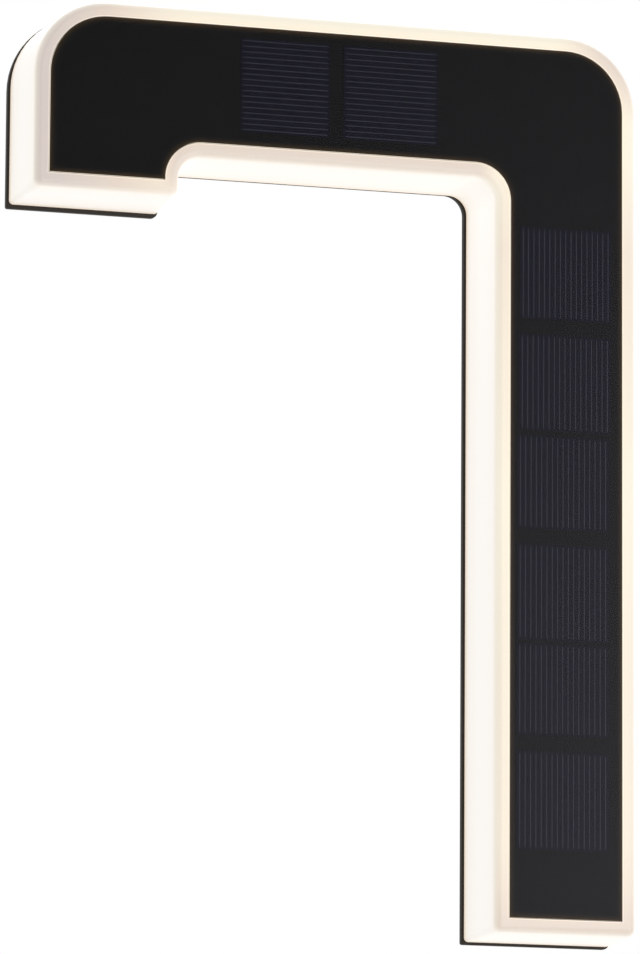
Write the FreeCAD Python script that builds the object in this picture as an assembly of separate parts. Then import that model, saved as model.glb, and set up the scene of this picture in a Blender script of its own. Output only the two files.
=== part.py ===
"""A solar house number, the figure 7, that hangs on a wall and glows through its sides.

An opal diffuser is the rim and side walls. A solar panel is let into its front, and a black plate closes its back.
Millimetres. +Z is up, the number faces -Y, and the wall touches the back at y = 0. The origin is on the wall face,
midway between the round entries of the two keyholes.
"""
import FreeCAD
import Part
import math
import os

from FreeCAD import Vector

# ---- The figure: edges of the solar panel, which is the black 7 ----
panel_width = 160.0
panel_height = 235.0
bar_height = 32.2
upright_width = 31.7
tip_width = 31.7
tip_drop = 10.6              # how far the short serif hangs below the bar
top_left_radius = 16.0
top_right_radius = 16.0
crook_radius = 10.0          # inner corners under the bar
panel_corner = 0.3           # the four square corners of the panel
shortest_run = 0.1           # of straight edge left between two rounded corners

# ---- Depths, from the wall forward ----
sign_depth = 25.8            # wall to the face of the panel
plate_thickness = 2.0
panel_proud = 0.4            # panel face in front of the diffuser's rim

# ---- Diffuser ----
rim_grow = 4.0               # rim's outer edge outside the panel's edge
skirt_grow = 4.7             # the same at the back, so the walls have draft
diffuser_wall = 2.0
rim_round = 2.0              # rounding of the rim's outer edge
rim_corner_land = 0.2        # the rim's square corners, more than its rounding
skirt_corner = 1.1
tray_clearance = 0.15        # the gap round the panel

# ---- Wall plate ----
plate_lip = 0.7              # outside the diffuser's back edge, on the left sides and the foot
plate_tip_lip = 1.05         # the same under the tip
plate_under_inset = 0.15     # inside it, under the bar; at the top and on the right sides they are flush
plate_corner = 0.6
plate_right_corner = 1.6
plate_crook = 5.5
plate_edge_round = 0.35
tongue_clearance = 0.3       # locating rib inside the diffuser's wall
tongue_thickness = 1.4
tongue_height = 3.0
rib_height = 3.0
rib_thickness = 1.2
rib_spacing = 20.0
rib_top_gap = 16.0           # below the control board
rib_foot_gap = 14.0          # above the panel's foot
groove_open = 1.0            # how far a cut runs out past the wall face
blind_floor = 0.5            # of plate left under a blind hole

# ---- Solar panel build-up ----
film_thickness = 0.7
tape_thickness = 0.5
tape_inset = 1.0
tape_width = 6.0
board_thickness = 1.6
cell_thickness = 0.2
finger_thickness = 0.05
finger_width = 0.2
finger_pitch = 1.51
finger_end_gap = 0.6         # from a cell's edges to its printed lines
film_pocket_clearance = 0.05
film_glue = 0.05             # clear glue line between film and board
film_edge_bevel = 0.2

# ---- Solar cells: width along the bar or upright, as cut and laid by hand ----
bar_cell_widths = (24.9, 26.6)
bar_cell_gap = 3.8
bar_cell_height = 25.4
bar_cell_lift = 0.4          # cells sit a little above the bar's middle
upright_cell_width = 26.0
upright_cell_heights = (25.0, 26.1, 25.3, 25.8, 24.5, 26.1)
upright_cell_gaps = (4.2, 1.3, 4.2, 0.9, 4.4)
upright_cell_shifts = (-0.15, -0.35, -0.85, -0.85, -0.9, -0.85)
foot_margin = 18.3           # below the lowest cell

# ---- Keyholes ----
hanger_drop = 20.0           # entries below the panel's top edge
keyhole_entry_radius = 4.5
keyhole_slot_radius = 2.2
keyhole_slot_rise = 8.0
keyhole_head_radius = 5.0    # room for the screw head behind the plate
keyhole_head_depth = 3.6
pocket_wall = 1.3

# ---- Housing screws and the diffuser's bosses ----
boss_radius = 3.0
pad_radius = 4.6
pad_height = 2.4
bar_boss_inset = 2.8         # inside the bar's edges
upper_boss_step = 8.0        # inwards from the middle lines of tip and upright
lower_boss_land = 2.25       # of plate between the battery cover's pocket and a screw's counterbore
tip_boss_lift = 4.2          # above the tip's foot
control_boss_gap = 8.0       # below the control board, and inside its top edge
side_boss_inset = 3.5        # inside the upright's sides
foot_boss_lift = 6.5         # above the panel's foot
screw_radius = 1.2
screw_length = 10.6
screw_head_radius = 2.7
screw_head_height = 1.7
screw_hole_play = 0.4
counterbore_play = 0.3
counterbore_depth = 2.4
pilot_clearance = 0.05
pilot_end_room = 1.0         # past the screw's tip
cross_width = 0.7
cross_depth = 0.9

# ---- Housing gasket, in a groove of the plate under the diffuser's edge ----
gasket_inset = 0.8           # inside the diffuser's back edge
gasket_width = 1.0
gasket_height = 0.8

# ---- Battery, AA size ----
battery_radius = 7.1
battery_length = 50.0
nub_radius = 2.75
nub_length = 1.5
well_clearance = 0.5         # round the battery
well_floor_gap = 0.2
well_wall = 1.5
well_floor = 1.3
contact_room = 6.0           # length of the well kept for the leaf spring
contact_thickness = 0.4
contact_width = 8.0
contact_height = 9.5
dimple_height = 0.6
dimple_radius = 1.6
tab_length = 3.4
tab_width = 2.6
tab_drop = 2.8               # tab in front of the battery's axis
tab_play = 0.4
cell_edge_round = 0.8

# ---- Battery cover ----
cover_length = 76.0
cover_height = 25.0
cover_thickness = 2.0
cover_corner = 4.0
cover_bevel = 0.3
cover_clearance = 0.25
cover_sink = 0.2             # below the wall face
cover_ledge = 2.0            # thickness of the ledge under the cover
cover_gasket_margin = 1.2    # from the well's long sides to the gasket
cover_gasket_width = 1.2
cover_gasket_height = 0.8
cover_gasket_corner = 1.0    # inside radius of its corners
cover_screw_inset = 2.9      # from the cover's end
cover_screw_radius = 1.0
cover_screw_length = 6.5
cover_screw_head_radius = 1.9
cover_screw_clearance = 0.08
cover_boss_depth = 6.0
cover_boss_floor = 1.0
finger_notch_radius = 5.0
finger_notch_depth = 0.8

# ---- LED boards ----
led_board_width = 6.0
led_board_thickness = 1.0
led_board_corner = 1.0
led_board_stand = 5.0        # above the plate's inner face
led_board_inset = 2.2        # middles of the two bar boards inside the bar's edges
led_board_end_gap = 1.0      # at least, to the pads of the screws at its ends
upright_board_foot_gap = 10.0
upright_board_top_gap = 12.5
led_pitch = 16.0
led_length = 3.5
led_width = 2.8
led_height = 0.8
led_dish_radius = 1.1
led_dish_depth = 0.2
stand_radius = 2.2
stand_hole_play = 0.05
board_hole_play = 0.3
board_screw_radius = 0.85
board_screw_length = 5.0
board_screw_head_radius = 1.9
board_screw_head_height = 1.1

# ---- Control board ----
control_width = 26.0
control_height = 50.0
control_thickness = 1.6
control_drop = 50.0          # its top edge below the panel's top edge
control_stand_side_inset = 2.5
control_stand_end_inset = 10.5
lead_hole_lift = 8.0         # the diffuser's lead hole above the board's middle
chip_lift = 1.0
chip_width = 3.9
chip_length = 4.9
chip_height = 1.5
chip_stand_off = 0.1
chip_leg_pitch = 1.27
chip_leg_width = 0.4
chip_leg_reach = 1.2         # from the package's side to a foot's end
chip_foot_length = 0.9
chip_foot_thickness = 0.2
chip_leg_rise = 0.8
inductor_step = 8.0          # beside the board's middle line
inductor_drop = 2.0
inductor_size = 6.0
inductor_height = 2.8
inductor_corner = 1.2
inductor_groove_depth = 0.4
inductor_groove_width = 0.6
inductor_land = 0.7          # from its side to the round groove
capacitor_step = 8.0
capacitor_lift = 3.0
capacitor_spacing = 7.0
capacitor_radius = 2.5
capacitor_height = 5.4
capacitor_edge_round = 0.4
socket_width = 7.5
socket_length = 6.0
socket_depth = 4.8
socket_wall = 0.8
socket_floor = 1.0
socket_step = 7.5            # the two top sockets beside the board's middle line
panel_socket_lift = 11.0

# ---- Slide switch ----
switch_travel = 3.0
switch_drop = 7.0            # below the control board's middle
knob_width = 3.0
knob_height = 2.6
knob_sink = 0.5              # its end below the wall face
knob_play = 0.05
knob_seat = 1.9              # its depth inside the switch
knob_groove_pitch = 0.85
knob_groove_width = 0.35
switch_length = 11.0
switch_height = 5.6
switch_depth = 3.6
switch_gap = 0.4             # from the switch to the floor of the plate's recess
recess_length = 15.0
recess_height = 8.0
recess_depth = 1.6
recess_corner = 2.0
recess_floor = 1.4
recess_slot_play = 0.4
pin_radius = 0.4
pin_pitch = 3.0
pin_hole_play = 0.1
pin_length = 0.8             # in front of the control board
mark_depth = 0.3
mark_stroke = 0.7
mark_size = 3.4

# ---- Leads ----
lead_radius = 0.6
lead_pitch = 2.0
lead_hole_play = 0.08
seal_radius = 3.0

# ---- Worked out from the sizes above ----
left = -panel_width / 2
right = panel_width / 2
top = hanger_drop
bar_under = top - bar_height
tip_foot = bar_under - tip_drop
foot = top - panel_height
tip_right = left + tip_width
upright_left = right - upright_width
bar_middle = top - bar_height / 2
upright_middle = right - upright_width / 2
tip_middle = left + tip_width / 2

rim_corner = rim_round + rim_corner_land
plate_grow = skirt_grow + plate_lip
plate_sides = {
    "top": skirt_grow,
    "right": skirt_grow,
    "tip": skirt_grow + plate_tip_lip,
    "under": skirt_grow - plate_under_inset,
    "right_corner": plate_right_corner,
    "crook": plate_crook,
}
tongue_grow = skirt_grow - diffuser_wall - tongue_clearance
gasket_grow = skirt_grow - gasket_inset

plate_front = -plate_thickness
film_face = -sign_depth
rim_face = film_face + panel_proud
cell_seat = film_face + film_thickness
cell_face = cell_seat - cell_thickness
board_rear = cell_seat + board_thickness
tray_floor = board_rear + tape_thickness
cavity_front = tray_floor + diffuser_wall
boss_rear = plate_front - pad_height

well_half_length = (battery_length + contact_room + contact_thickness + dimple_height) / 2
well_half_height = battery_radius + well_clearance
cover_face = -cover_sink
cover_seat = cover_face - cover_thickness
ledge_front = cover_seat - cover_ledge
battery_axis = cover_seat - well_clearance - battery_radius
well_floor_y = battery_axis - battery_radius - well_floor_gap
battery_end = well_half_length - contact_thickness - dimple_height
battery_start = battery_end - battery_length
cover_screw_reach = cover_length / 2 - cover_screw_inset
cover_gasket_end = (well_half_length + cover_screw_reach - cover_screw_radius) / 2

led_board_rear = plate_front - led_board_stand
led_board_front = led_board_rear - led_board_thickness
led_board_offset = bar_height / 2 - led_board_inset
bar_boss_offset = bar_height / 2 - bar_boss_inset
stand_hole_radius = board_screw_radius + stand_hole_play
board_hole_radius = board_screw_radius + board_hole_play

recess_floor_y = -recess_depth
recess_front = recess_floor_y - recess_floor
switch_rear = recess_front - switch_gap
control_rear = switch_rear - switch_depth
control_front = control_rear - control_thickness
control_top = top - control_drop
control_foot = control_top - control_height
control_middle = (control_top + control_foot) / 2
switch_z = control_middle - switch_drop
knob_rest_x = upright_middle - switch_travel / 2
knob_base = switch_rear - knob_seat

top_socket_z = control_top - socket_length / 2
foot_socket_z = control_foot + socket_length / 2
battery_socket_x = upright_middle - socket_step
bar_socket_x = upright_middle + socket_step
socket_front = control_front - socket_depth
socket_lead_y = control_front - socket_depth / 2
top_socket_mouth = control_top - socket_floor
panel_socket_z = control_middle + panel_socket_lift

# The bar's bosses, each pair by x from left to right, and as many LEDs as fit on a board between their pads
counterbore_radius = screw_head_radius + counterbore_play
lower_boss_reach = cover_length / 2 + cover_clearance + lower_boss_land + counterbore_radius
upper_bosses = (tip_middle + upper_boss_step, upright_middle - upper_boss_step)
lower_bosses = (-lower_boss_reach, lower_boss_reach)
board_end_room = 2 * (pad_radius + led_board_end_gap)
upper_led_count = int((upper_bosses[1] - upper_bosses[0] - board_end_room) / led_pitch)
lower_led_count = int((lower_bosses[1] - lower_bosses[0] - board_end_room) / led_pitch)
upper_board_x = sum(upper_bosses) / 2
lower_board_x = sum(lower_bosses) / 2
upright_board_top = control_foot - upright_board_top_gap
upright_board_foot = foot + upright_board_foot_gap
upright_board_z = (upright_board_top + upright_board_foot) / 2
upright_led_count = int((upright_board_top - upright_board_foot) / led_pitch)


# ---- Shape helpers ----
def rounded_wire(corners, y):
    """A closed wire in the plane at y through (x, z, radius) corners, each rounded by its arc."""
    points = [Vector(x, y, z) for x, z, radius in corners]
    arcs = []
    for i, here in enumerate(points):
        radius = corners[i][2]
        back = (points[i - 1] - here).normalize()
        ahead = (points[(i + 1) % len(points)] - here).normalize()
        half = back.getAngle(ahead) / 2
        reach = radius / math.tan(half)
        inward = (back + ahead).normalize() * (radius / math.sin(half) - radius)
        arcs.append((here + back * reach, here + inward, here + ahead * reach))
    edges = []
    for i, (start, middle, end) in enumerate(arcs):
        edges.append(Part.Arc(start, middle, end).toShape())
        edges.append(Part.LineSegment(end, arcs[(i + 1) % len(arcs)][0]).toShape())
    return Part.Wire(edges)


def seven_wire(y, grow, corner, **sides):
    """The outline of the 7 at depth y, grown by a distance outside the panel's edge.

    sides holds what differs: the growth at the top, on the right sides, under the tip or under the bar, the radius
    of the right_corner pair, and the radius of the crook, the bar's inner corners. That last is no larger than the
    tip's side has room for.
    """
    over, beside, below, under = [sides.get(side, grow) for side in ("top", "right", "tip", "under")]
    right_corner = sides.get("right_corner", corner)
    crook = sides.get("crook", max(crook_radius - grow, corner))
    crook = min(crook, tip_drop + below - under - right_corner - shortest_run)
    return rounded_wire(
        [
            (left - grow, top + over, top_left_radius + grow),
            (right + beside, top + over, top_right_radius + beside),
            (right + beside, foot - grow, right_corner),
            (upright_left - grow, foot - grow, corner),
            (upright_left - grow, bar_under - under, crook),
            (tip_right + beside, bar_under - under, crook),
            (tip_right + beside, tip_foot - below, right_corner),
            (left - grow, tip_foot - below, corner),
        ],
        y,
    )


def seven_slab(front, rear, grow, corner, **sides):
    return Part.Face(seven_wire(front, grow, corner, **sides)).extrude(Vector(0, rear - front, 0))


def seven_ring(front, rear, outer, inner, corner):
    return seven_slab(front, rear, outer, corner).cut(seven_slab(front, rear, inner, corner))


def block(x, z, front, rear, width, height):
    """A box centred on x and z, from front to rear."""
    return Part.makeBox(width, rear - front, height, Vector(x - width / 2, front, z - height / 2))


def rounded_block(x, z, front, rear, width, height, radius):
    """The same with its four long edges rounded."""
    half_x, half_z = width / 2, height / 2
    corners = [
        (x - half_x, z + half_z, radius),
        (x + half_x, z + half_z, radius),
        (x + half_x, z - half_z, radius),
        (x - half_x, z - half_z, radius),
    ]
    return Part.Face(rounded_wire(corners, front)).extrude(Vector(0, rear - front, 0))


def post(x, z, front, rear, radius):
    """A cylinder along Y."""
    return Part.makeCylinder(radius, rear - front, Vector(x, front, z), Vector(0, 1, 0))


def stadium(x, z_low, z_high, front, rear, radius):
    """An upright slot shape, round at both ends."""
    middle = block(x, (z_low + z_high) / 2, front, rear, 2 * radius, z_high - z_low)
    return middle.fuse([post(x, z_low, front, rear, radius), post(x, z_high, front, rear, radius)]).removeSplitter()


def tube(route, radius):
    """A round lead along straight runs joined by tangent arcs, each as large as its two runs allow."""
    points = [Vector(*p) for p in route]
    bends = []
    for here, last, following in zip(points[1:-1], points[:-2], points[2:]):
        back, ahead = last - here, following - here
        reach = 0.45 * min(back.Length, ahead.Length)
        half = back.getAngle(ahead) / 2
        bend_radius = reach * math.tan(half)
        inward = (back.normalize() + ahead.normalize()).normalize()
        middle = here + inward * (bend_radius / math.sin(half) - bend_radius)
        bends.append((here + back * reach, middle, here + ahead * reach))
    edges = []
    place = points[0]
    for start, middle, end in bends:
        edges.append(Part.LineSegment(place, start).toShape())
        edges.append(Part.Arc(start, middle, end).toShape())
        place = end
    edges.append(Part.LineSegment(place, points[-1]).toShape())
    path = Part.Wire(edges)
    ring = Part.Wire(Part.makeCircle(radius, points[0], points[1] - points[0]))
    solid = path.makePipeShell([ring], True, False)
    share = solid.Volume / (math.pi * radius**2 * path.Length)
    print(f"lead of {path.Length:.1f} mm, volume over section times length {share:.4f}")
    return solid


def strip(points, thickness, x_side, z, width):
    """A bent metal strip: flat lengths between (x, y) points with round bends, wide along Z.

    x_side is 1 or -1 and mirrors the strip for either end of the well.
    """
    pieces = []
    low = z - width / 2
    for (x0, y0), (x1, y1) in zip(points[:-1], points[1:]):
        run = math.hypot(x1 - x0, y1 - y0)
        flat = Part.makeBox(run, thickness, width, Vector(0, -thickness / 2, 0))
        turn = math.degrees(math.atan2(y1 - y0, x_side * (x1 - x0)))
        flat.Placement = FreeCAD.Placement(Vector(x_side * x0, y0, low), FreeCAD.Rotation(Vector(0, 0, 1), turn))
        pieces.append(flat)
    for x, y in points:
        pieces.append(Part.makeCylinder(thickness / 2, width, Vector(x_side * x, y, low), Vector(0, 0, 1)))
    return pieces[0].fuse(pieces[1:]).removeSplitter()


def cross_cut(x, z, rear, size):
    """The cross recess in a screw head whose top faces the wall."""
    bars = [
        block(x, z, rear - cross_depth, rear, size, cross_width),
        block(x, z, rear - cross_depth, rear, cross_width, size),
    ]
    return bars[0].fuse(bars[1])


def save(name, *solids):
    shape = solids[0] if len(solids) == 1 else Part.makeCompound(list(solids))
    shape.exportStep(f"parts/{name}.step")


# ---- Places that several pieces share ----
def boss_places():
    """Where the housing screws go: along the bar, in the tip, and in pairs down the upright."""
    side = upright_width / 2 - side_boss_inset
    in_bar = [(x, bar_middle + bar_boss_offset) for x in upper_bosses]
    in_bar += [(x, bar_middle - bar_boss_offset) for x in lower_bosses]
    singles = [(tip_middle, tip_foot + tip_boss_lift), (upright_middle, control_top + control_boss_gap)]
    pairs = [
        (upright_middle + step, z)
        for z in (control_foot - control_boss_gap, foot + foot_boss_lift)
        for step in (-side, side)
    ]
    return in_bar + singles + pairs


def led_boards():
    """Each LED board: name, middle x and z, number of LEDs, whether it stands upright."""
    return [
        ("led_board_upper", upper_board_x, bar_middle + led_board_offset, upper_led_count, False),
        ("led_board_lower", lower_board_x, bar_middle - led_board_offset, lower_led_count, False),
        ("led_board_upright", upright_middle, upright_board_z, upright_led_count, True),
    ]


def along(x, z, steps, is_upright):
    """The place that many LED pitches along a board from its middle."""
    return (x, z + steps * led_pitch) if is_upright else (x + steps * led_pitch, z)


def led_places():
    places = []
    for name, x, z, count, is_upright in led_boards():
        for i in range(count):
            places.append((*along(x, z, i - (count - 1) / 2, is_upright), is_upright))
    return places


def led_screw_places():
    """One screw between the last two LEDs at each end of a board."""
    places = []
    for name, x, z, count, is_upright in led_boards():
        for side in (-1, 1):
            places.append(along(x, z, side * (count / 2 - 1), is_upright))
    return places


def control_screw_places():
    side = control_width / 2 - control_stand_side_inset
    end = control_height / 2 - control_stand_end_inset
    return [(upright_middle + sx * side, control_middle + sz * end) for sx in (-1, 1) for sz in (-1, 1)]


def keyhole_places():
    return [tip_middle, upright_middle]


def cover_screw_places():
    return [-cover_screw_reach, cover_screw_reach]


def cells():
    """Each solar cell: middle x and z, width, height, and whether its fingers run along Z."""
    found = []
    x = -(sum(bar_cell_widths) + bar_cell_gap) / 2
    for width in bar_cell_widths:
        found.append((x + width / 2, bar_middle + bar_cell_lift, width, bar_cell_height, False))
        x += width + bar_cell_gap
    z = foot + foot_margin
    heights = upright_cell_heights[::-1]
    gaps = (*upright_cell_gaps[::-1], 0.0)
    lowest_first = []
    for height, gap, shift in zip(heights, gaps, upright_cell_shifts[::-1]):
        lowest_first.append((upright_middle + shift, z + height / 2, upright_cell_width, height, True))
        z += height + gap
    return found + lowest_first[::-1]


# ---- Diffuser and what is let into its front ----
def diffuser_shell():
    """One opal moulding: rim, drafted walls, tray for the panel, and a boss for each housing screw."""
    outside = Part.makeLoft(
        [seven_wire(rim_face, rim_grow, rim_corner), seven_wire(plate_front, skirt_grow, skirt_corner)], True, True
    )
    front_edges = [e for e in outside.Edges if e.BoundBox.YMax < rim_face + 0.01]
    outside = outside.makeFillet(rim_round, front_edges)
    inner_corner = max(skirt_corner - diffuser_wall / 2, panel_corner)
    inside = Part.makeLoft(
        [
            seven_wire(cavity_front, rim_grow - diffuser_wall, inner_corner),
            seven_wire(plate_front, skirt_grow - diffuser_wall, inner_corner),
        ],
        True,
        True,
    )
    tray = seven_slab(rim_face - rim_round, tray_floor, tray_clearance, panel_corner)
    shell = outside.cut([inside, tray])
    bosses = [post(x, z, cavity_front, boss_rear, boss_radius) for x, z in boss_places()]
    shell = shell.fuse(bosses)
    reach = screw_length + pilot_end_room
    pilots = [post(x, z, boss_rear - reach, boss_rear, screw_radius + pilot_clearance) for x, z in boss_places()]
    x, z = lead_hole()
    return shell.cut([*pilots, post(x, z, tray_floor, cavity_front, seal_radius)]).removeSplitter()


def lead_hole():
    return upright_middle, control_middle + lead_hole_lift


def lead_seal():
    """A silicone plug in the diffuser's lead hole, with a hole for each panel lead."""
    x, z = lead_hole()
    plug = post(x, z, tray_floor, cavity_front, seal_radius)
    holes = [
        post(x + side * lead_pitch / 2, z, tray_floor, cavity_front, lead_radius + lead_hole_play) for side in (-1, 1)
    ]
    return plug.cut(holes)


def panel_tape():
    return seven_ring(board_rear, tray_floor, -tape_inset, -tape_inset - tape_width, panel_corner)


def solar_board():
    return seven_slab(cell_seat, board_rear, 0.0, panel_corner)


def solar_cell(x, z, width, height):
    return block(x, z, cell_face, cell_seat, width, height)


def cell_fingers():
    """The printed lines: on the bar they run along X, on the upright along Z."""
    lines = []
    face = cell_face - finger_thickness
    for x, z, width, height, is_upright in cells():
        across = width if is_upright else height
        count = int((across - 2 * finger_end_gap) / finger_pitch) + 1
        for i in range(count):
            step = (i - (count - 1) / 2) * finger_pitch
            if is_upright:
                lines.append(block(x + step, z, face, cell_face, finger_width, height - 2 * finger_end_gap))
            else:
                lines.append(block(x, z + step, face, cell_face, width - 2 * finger_end_gap, finger_width))
    return lines


def panel_film():
    """The clear matte sheet over the cells, with a shallow pocket for each."""
    film = seven_slab(film_face, cell_seat - film_glue, 0.0, panel_corner)
    face_edges = [e for e in film.Edges if e.BoundBox.YMax < film_face + 0.01]
    film = film.makeChamfer(film_edge_bevel, face_edges)
    pocket_face = cell_face - finger_thickness - film_pocket_clearance
    play = 2 * film_pocket_clearance
    pockets = [block(x, z, pocket_face, cell_seat, w + play, h + play) for x, z, w, h, is_upright in cells()]
    return film.cut(pockets)


# ---- Wall plate ----
def wall_plate():
    """The black back moulding, with keyholes, battery well, switch recess and everything that boards stand on."""
    plate = seven_slab(plate_front, 0.0, plate_grow, plate_corner, **plate_sides)
    rims = [e for e in plate.Edges if e.BoundBox.YMax - e.BoundBox.YMin < 0.01]
    plate = plate.makeFillet(plate_edge_round, rims)
    z_mid = bar_middle
    well_outer_x = 2 * (well_half_length + well_wall)
    well_outer_z = 2 * (well_half_height + well_wall)
    ledge_x = cover_length + 2 * well_wall
    ledge_z = cover_height + 2 * well_wall
    tongue_front = plate_front - tongue_height
    adds = [
        seven_ring(tongue_front, plate_front, tongue_grow, tongue_grow - tongue_thickness, panel_corner),
        rounded_block(0, z_mid, ledge_front, plate_front, ledge_x, ledge_z, cover_corner + well_wall),
        rounded_block(0, z_mid, well_floor_y - well_floor, plate_front, well_outer_x, well_outer_z, well_wall),
        rounded_block(
            upright_middle,
            switch_z,
            recess_front,
            plate_front,
            recess_length + 2 * recess_floor,
            recess_height + 2 * recess_floor,
            recess_corner + recess_floor,
        ),
    ]
    for x in keyhole_places():
        front = plate_front - keyhole_head_depth - pocket_wall
        adds.append(stadium(x, 0, keyhole_slot_rise, front, plate_front, keyhole_head_radius + pocket_wall))
    for x in cover_screw_places():
        adds.append(post(x, z_mid, ledge_front - cover_boss_depth, plate_front, boss_radius))
    for x, z in boss_places():
        adds.append(post(x, z, boss_rear, plate_front, pad_radius))
    for x, z in led_screw_places():
        adds.append(post(x, z, led_board_rear, plate_front, stand_radius))
    for x, z in control_screw_places():
        adds.append(post(x, z, control_rear, plate_front, stand_radius))
    rib_top = control_foot - rib_top_gap
    rib_foot = foot + rib_foot_gap
    for side in (-1, 1):
        x = upright_middle + side * rib_spacing / 2
        middle = (rib_top + rib_foot) / 2
        adds.append(block(x, middle, plate_front - rib_height, plate_front, rib_thickness, rib_top - rib_foot))
    plate = plate.fuse(adds)

    cuts = [
        seven_ring(plate_front, plate_front + gasket_height, gasket_grow, gasket_grow - gasket_width, panel_corner),
        rounded_block(
            0,
            z_mid,
            cover_seat,
            groove_open,
            cover_length + 2 * cover_clearance,
            cover_height + 2 * cover_clearance,
            cover_corner + cover_clearance,
        ),
        block(0, z_mid, well_floor_y, 0, 2 * well_half_length, 2 * well_half_height),
        cover_gasket(),
        rounded_block(
            upright_middle, switch_z, recess_floor_y, groove_open, recess_length, recess_height, recess_corner
        ),
        block(
            upright_middle,
            switch_z,
            switch_rear,
            0,
            knob_width + switch_travel + 2 * recess_slot_play,
            knob_height + 2 * recess_slot_play,
        ),
    ]
    for x in keyhole_places():
        head_front = plate_front - keyhole_head_depth
        cuts.append(stadium(x, 0, keyhole_slot_rise, head_front, plate_front, keyhole_head_radius))
        cuts.append(post(x, 0, plate_front, groove_open, keyhole_entry_radius))
        cuts.append(stadium(x, 0, keyhole_slot_rise, plate_front, groove_open, keyhole_slot_radius))
    for side in (-1, 1):
        slit = contact_thickness + tab_play
        middle = side * (well_half_length + well_wall / 2)
        cuts.append(
            block(middle, z_mid, tab_y() - slit / 2, tab_y() + slit / 2, well_wall + tab_play, tab_width + tab_play)
        )
    for x in cover_screw_places():
        pilot = cover_screw_radius + cover_screw_clearance
        cuts.append(post(x, z_mid, ledge_front - cover_boss_depth + cover_boss_floor, 0, pilot))
    for x, z in boss_places():
        cuts.append(post(x, z, -counterbore_depth, groove_open, counterbore_radius))
        cuts.append(post(x, z, boss_rear, 0, screw_radius + screw_hole_play))
    for x, z in led_screw_places():
        cuts.append(post(x, z, led_board_rear, plate_front - blind_floor, stand_hole_radius))
    for x, z in control_screw_places():
        cuts.append(post(x, z, control_rear, plate_front - blind_floor, stand_hole_radius))
    cuts += switch_marks()
    return plate.cut(cuts).removeSplitter()


def switch_marks():
    """The on line and the off ring sunk beside the switch recess."""
    reach = recess_length / 2 + mark_size
    line = block(upright_middle - reach, switch_z, -mark_depth, groove_open, mark_stroke, mark_size)
    ring = post(upright_middle + reach, switch_z, -mark_depth, groove_open, mark_size / 2)
    inside = post(upright_middle + reach, switch_z, -mark_depth, groove_open, mark_size / 2 - mark_stroke)
    return [line, ring.cut(inside)]


def housing_gasket():
    return seven_ring(plate_front, plate_front + gasket_height, gasket_grow, gasket_grow - gasket_width, panel_corner)


def housing_screws():
    """Pan head screws, sunk below the wall face, that hold the diffuser's bosses."""
    screws = []
    seat = -counterbore_depth
    for x, z in boss_places():
        head = post(x, z, seat, seat + screw_head_height, screw_head_radius)
        rim = [e for e in head.Edges if e.BoundBox.YMin > seat + screw_head_height - 0.01]
        head = head.makeFillet(screw_head_height * 0.35, rim)
        shank = post(x, z, seat - screw_length, seat, screw_radius)
        screw = head.fuse(shank).cut(cross_cut(x, z, seat + screw_head_height, screw_head_radius * 1.2))
        screws.append(screw.removeSplitter())
    return screws


# ---- LED boards, control board and what is on them ----
def board_screw(x, z, seat):
    """A small screw whose head presses a board at seat onto its stand."""
    head = post(x, z, seat - board_screw_head_height, seat, board_screw_head_radius)
    rim = [e for e in head.Edges if e.BoundBox.YMax < seat - board_screw_head_height + 0.01]
    head = head.makeFillet(board_screw_head_height * 0.4, rim)
    return head.fuse(post(x, z, seat, seat + board_screw_length, board_screw_radius)).removeSplitter()


def board_screws():
    screws = [board_screw(x, z, led_board_front) for x, z in led_screw_places()]
    return screws + [board_screw(x, z, control_front) for x, z in control_screw_places()]


def led_board(x, z, count, is_upright):
    length = count * led_pitch
    size = (led_board_width, length) if is_upright else (length, led_board_width)
    board = rounded_block(x, z, led_board_front, led_board_rear, *size, led_board_corner)
    holes = [post(hx, hz, led_board_front, led_board_rear, board_hole_radius) for hx, hz in led_screw_places()]
    return board.cut(holes)


def leds():
    """Flat white packages with a shallow round dish for the phosphor."""
    packages = []
    for x, z, is_upright in led_places():
        size = (led_width, led_length) if is_upright else (led_length, led_width)
        package = block(x, z, led_board_front - led_height, led_board_front, *size)
        dish = post(x, z, led_board_front - led_height, led_board_front - led_height + led_dish_depth, led_dish_radius)
        packages.append(package.cut(dish))
    return packages


def control_board():
    board = block(upright_middle, control_middle, control_front, control_rear, control_width, control_height)
    holes = [post(x, z, control_front, control_rear, board_hole_radius) for x, z in control_screw_places()]
    holes += [post(x, switch_z, control_front, control_rear, pin_radius + pin_hole_play) for x in pin_places()]
    return board.cut(holes)


def charge_chip():
    """An eight-leg package between the panel socket and the switch's pins."""
    x, z = upright_middle, control_middle + chip_lift
    seat = control_front - chip_stand_off
    body = block(x, z, seat - chip_height, seat, chip_width, chip_length)
    legs = []
    for side in (-1, 1):
        foot_x = x + side * (chip_width / 2 + chip_leg_reach - chip_foot_length / 2)
        rise_x = x + side * (chip_width / 2 + chip_leg_width / 2)
        for i in range(4):
            leg_z = z + (i - 1.5) * chip_leg_pitch
            foot_front = control_front - chip_foot_thickness
            rise_front = control_front - chip_leg_rise
            legs.append(block(foot_x, leg_z, foot_front, control_front, chip_foot_length, chip_leg_width))
            legs.append(block(rise_x, leg_z, rise_front, control_front, chip_leg_width, chip_leg_width))
    return body.fuse(legs).removeSplitter()


def inductor():
    """A shielded square coil with a round groove in its face."""
    x, z = upright_middle + inductor_step, control_middle - inductor_drop
    face = control_front - inductor_height
    base = rounded_block(x, z, face, control_front, inductor_size, inductor_size, inductor_corner)
    groove_radius = inductor_size / 2 - inductor_land
    groove = post(x, z, face, face + inductor_groove_depth, groove_radius)
    core = post(x, z, face, face + inductor_groove_depth, groove_radius - inductor_groove_width)
    return base.cut(groove.cut(core))


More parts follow.
